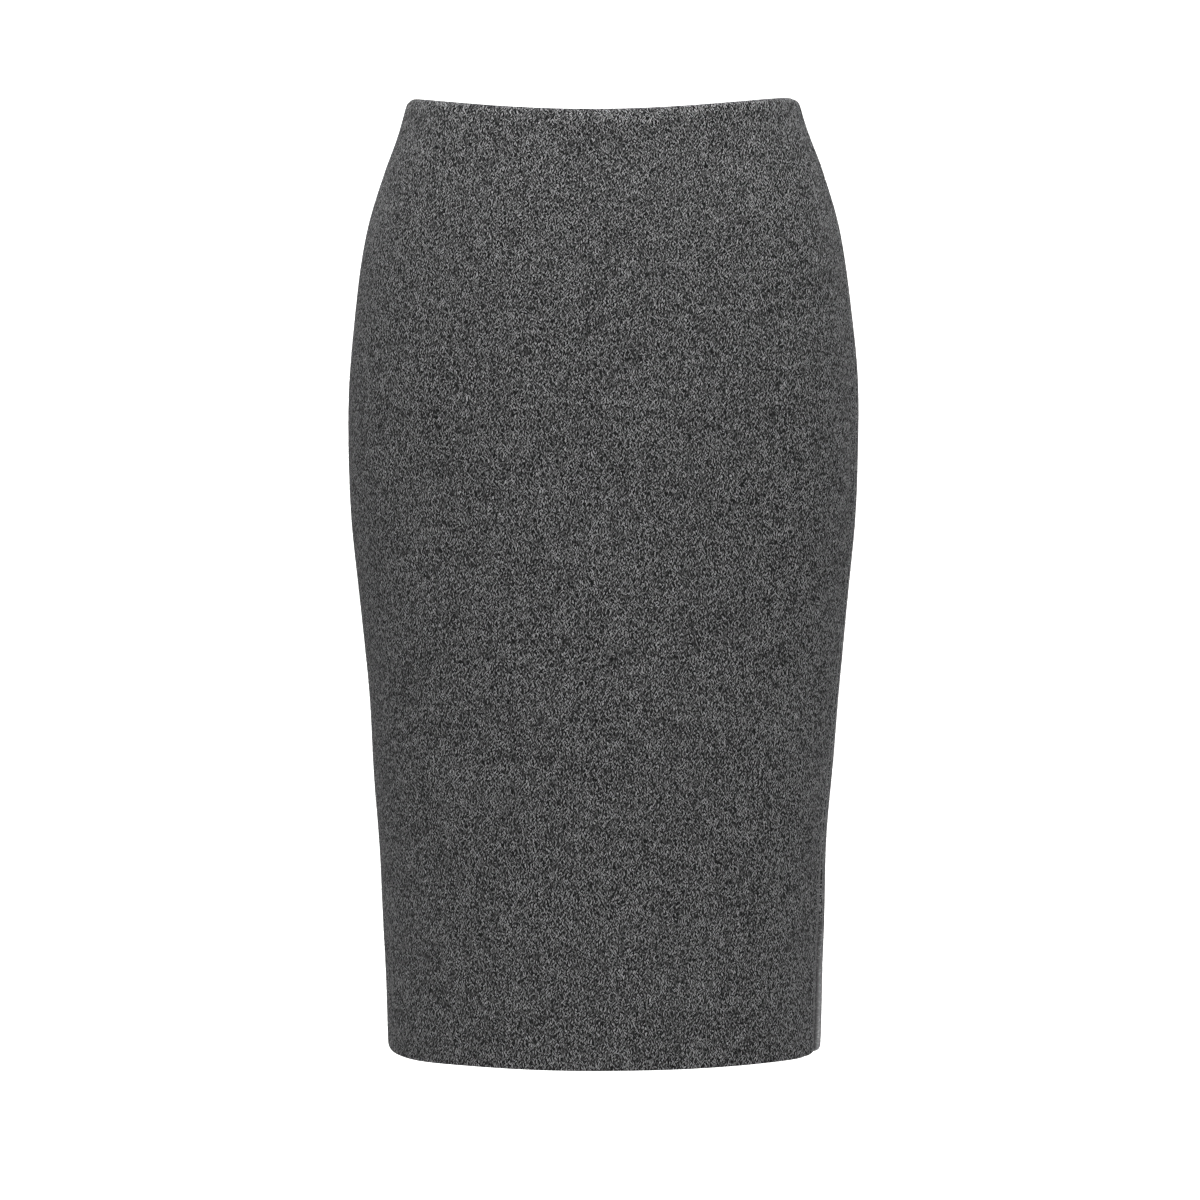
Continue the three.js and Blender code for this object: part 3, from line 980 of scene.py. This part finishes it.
def sewing_thread():
    """Two plies that wind round each other, on a map of share round and millimetres along."""
    material = bpy.data.materials.new("sewing_thread")
    material.use_nodes = True
    tree = material.node_tree
    w = Wiring(tree)
    place = w.node("ShaderNodeUVMap", {"uv_map": "thread"}).outputs["UV"]
    parts = w.node("ShaderNodeSeparateXYZ", i0=place).outputs
    turn = w.math("MULTIPLY_ADD", parts[1], 1.3, parts[0])
    ply = w.math("ABSOLUTE", w.math("SINE", w.math("MULTIPLY", turn, 2 * math.pi)))
    # The grooves between the plies are painted darker than their crests: painted shade.
    color = w.mix(w.math("POWER", ply, 0.6), THREAD_DARK, THREAD_PALE)
    raised = w.node("ShaderNodeBump", Height=ply)
    raised.inputs["Strength"].default_value = 0.6
    raised.inputs["Distance"].default_value = 0.05 * MM
    shader = tree.nodes["Principled BSDF"]
    tree.links.new(color, shader.inputs["Base Color"])
    tree.links.new(w.spread(ply, 0.0, 1.0, 0.7, 0.45), shader.inputs["Roughness"])
    tree.links.new(raised.outputs["Normal"], shader.inputs["Normal"])
    shader.inputs["Specular IOR Level"].default_value = 0.35
    return material


SEWING_THREAD = sewing_thread()


def thread_tube(run):
    """Corners, and how far along each ring lies in millimetres, of a tube along a run of points."""
    steps = np.diff(run, axis=0)
    lengths = np.linalg.norm(steps, axis=1)
    steps = steps / lengths[:, None]
    ways = np.concatenate([steps[:1], steps[:-1] + steps[1:], steps[-1:]])
    ways = ways / np.linalg.norm(ways, axis=1, keepdims=True)
    angle = 2 * math.pi * np.arange(THREAD_SIDES) / THREAD_SIDES
    side = np.cross(ways[0], (0.36, 0.48, 0.80))
    rings = []
    for place, way in zip(run, ways):
        side = side - way * side.dot(way)
        side = side / np.linalg.norm(side)
        other = np.cross(way, side)
        ring = np.outer(np.cos(angle), side) + np.outer(np.sin(angle), other)
        rings.append(place + ring * THREAD_RADIUS * MM)
    along = np.concatenate([[0], np.cumsum(lengths)]) / MM
    return np.array(rings), along


def sewn(name, runs):
    """One piece of thread: a closed tube for each run of points."""
    vertices, faces, places = [], [], []
    for run in runs:
        rings, along = thread_tube(run)
        first = len(vertices)
        vertices += rings.reshape(-1, 3).tolist()
        for k in range(len(rings) - 1):
            for j in range(THREAD_SIDES):
                near, far = first + k * THREAD_SIDES, first + (k + 1) * THREAD_SIDES
                following = (j + 1) % THREAD_SIDES
                faces.append((near + j, near + following, far + following, far + j))
                u, v = (j / THREAD_SIDES, (j + 1) / THREAD_SIDES), along[k : k + 2]
                places += [(u[0], v[0]), (u[1], v[0]), (u[1], v[1]), (u[0], v[1])]
        last = first + (len(rings) - 1) * THREAD_SIDES
        faces.append(tuple(range(first + THREAD_SIDES - 1, first - 1, -1)))
        faces.append(tuple(range(last, last + THREAD_SIDES)))
        places += [(0, along[0])] * THREAD_SIDES + [(0, along[-1])] * THREAD_SIDES
    mesh = bpy.data.meshes.new(name)
    mesh.from_pydata(vertices, [], faces)
    thread = mesh.uv_layers.new(name="thread")
    thread.data.foreach_set("uv", np.array(places, float).reshape(-1))
    mesh.materials.append(SEWING_THREAD)
    mesh.polygons.foreach_set("use_smooth", [True] * len(faces))
    riding_piece(name, mesh)


# Each point of a repeat is a share of its length, a distance in from the cut edge and a height
# above the cloth. The first thread winds over the edge, and the second is the needle's.
OVERLOCK_THREADS = (
    (
        (0.00, OVERLOCK_WIDTH, THREAD_RADIUS),
        (0.45, 0.1, THREAD_RADIUS),
        (0.60, -THREAD_RADIUS, -THICK / 2),
        (0.75, 0.1, THREAD_RADIUS),
    ),
    (
        (0.10, OVERLOCK_WIDTH + 0.3, THREAD_RADIUS),
        (0.85, OVERLOCK_WIDTH + 0.3, THREAD_RADIUS),
        (0.97, OVERLOCK_WIDTH + 0.3, THREAD_RADIUS - 0.2),
    ),
)


def overlock(first, last):
    """For each thread: places along the edge from first to last, in from it, and above it."""
    starts = np.arange(first, last - OVERLOCK_PITCH, OVERLOCK_PITCH)
    for thread in OVERLOCK_THREADS:
        share, from_cut, height = np.array(thread).T
        along = (starts[:, None] + share * OVERLOCK_PITCH).reshape(-1)
        yield along, np.tile(from_cut, len(starts)), np.tile(height, len(starts))


def allowance_runs(panel, end):
    """The overlock on a seam allowance, at the panel's first edge or its last (0 or 1)."""
    top, foot = WAIST_TURNING + CLEAR_OF_TURNING, LENGTH - HEM_TURNING - CLEAR_OF_TURNING
    return [
        panel.place(float(end), ALLOWANCE - from_cut, drop, 2 * SEAM_FOLD + height)
        for drop, from_cut, height in overlock(top, foot)
    ]


def turning_runs(panel, stretch):
    """The overlock on the cut edge of the turned top or hem."""
    at_top = "waist" in stretch
    cut_at, toward_fold, long = (0, 1, WAIST_TURNING) if at_top else (1, -1, HEM_TURNING)
    width = FORM.panel_width(float(ROUGH_DROPS[stretch][cut_at]), panel.is_front)
    return [
        over_cloth(panel, stretch, distance, cut_at + toward_fold * from_cut / long, height)
        for distance, from_cut, height in overlock(CLEAR_OF_TURNING, width - CLEAR_OF_TURNING)
    ]


seam_overlock = [
    run for panel in (FRONT, BACK) for end in (0, 1) for run in allowance_runs(panel, end)
]
sewn("seam_overlock", seam_overlock)
turning_overlock = [
    run
    for panel in (FRONT, BACK)
    for stretch in ("waist turning", "hem turning")
    for run in turning_runs(panel, stretch)
]
sewn("turning_overlock", turning_overlock)

# The two side seams are joined by a plain lockstitch, which lies deep between the two folds.
SEAM_STITCH = 2.5
SEAM_STITCH_DEPTHS = (1.9, 1.9, 2.4)


def seam_run(end):
    starts = np.arange(WAIST_FOLD_AT_SEAM + 1, LENGTH - HEM_FOLD_AT_SEAM - 4, SEAM_STITCH)
    drop = (starts[:, None] + np.array([0.1, 0.85, 0.97]) * SEAM_STITCH).reshape(-1)
    depth = np.tile(SEAM_STITCH_DEPTHS, len(starts))
    return FRONT.place(float(end), np.zeros(len(drop)), drop, depth)


sewn("seam_stitches", [seam_run(0), seam_run(1)])

# The hem is held up by hand with small slanting stitches, from its overlocked edge to a thread
# or two of the panel behind, so nothing shows outside.
HEM_STITCH_SPACING = 9.5
HEM_STITCH_UNEVEN = 0.8


def hem_stitch(panel, distance):
    def on_turning(right, below_edge, height):
        along = 1 - below_edge / HEM_TURNING
        return over_cloth(panel, "hem turning", right, along, height)

    def on_panel(right, above_edge):
        drop = LENGTH - HEM_TURNING - above_edge
        along = (drop - WAIST_FOLD) / (LENGTH - HEM_FOLD - WAIST_FOLD)
        return over_cloth(panel, "outside", right, along, -THICK - THREAD_RADIUS)

    return np.array(
        [
            on_turning(distance, 1.6, THREAD_RADIUS),
            on_turning(distance + 0.9, 0.2, THREAD_RADIUS),
            on_turning(distance + 1.3, -0.9, -THICK / 2),
            on_panel(distance + 1.6, 2.4),
            on_panel(distance + 2.9, 2.6),
        ]
    )


def hem_runs(panel):
    width = float(FORM.panel_width(LENGTH - HEM_TURNING, panel.is_front))
    count = int((width - 2 * BULK_FROM) / HEM_STITCH_SPACING)
    places = BULK_FROM + (np.arange(count) + 0.5) * HEM_STITCH_SPACING
    places = places + HEM_STITCH_UNEVEN * np.sin(np.arange(count) * 2.4)
    return [hem_stitch(panel, np.float64(place)) for place in places]


sewn("hem_stitches", hem_runs(FRONT) + hem_runs(BACK))

# A short row of close stitches across each side seam holds the turned top to the allowances.
TACK_HALF = 2.7
TACK_LINES = 9
TACK_STEP = 0.42
TACK_ABOVE_EDGE = 7


def tack_run(front_first):
    """Threads to and fro from the front's first or last edge to the back's other one."""
    level = float(WAIST_TURNING - TACK_ABOVE_EDGE)
    widths = [float(FORM.panel_width(level, is_front)) for is_front in (True, False)]
    ends = [TACK_HALF, widths[1] - TACK_HALF] if front_first else [widths[0] - TACK_HALF, TACK_HALF]
    points = []
    for line in range(TACK_LINES):
        along = (TACK_ABOVE_EDGE + line * TACK_STEP) / WAIST_TURNING
        sides = [(FRONT, ends[0]), (BACK, ends[1])]
        for panel, distance in sides if line % 2 else sides[::-1]:
            place = np.float64(distance)
            points.append(over_cloth(panel, "waist turning", place, along, THREAD_RADIUS))
    return np.array(points)


sewn("waist_tacks", [tack_run(True), tack_run(False)])
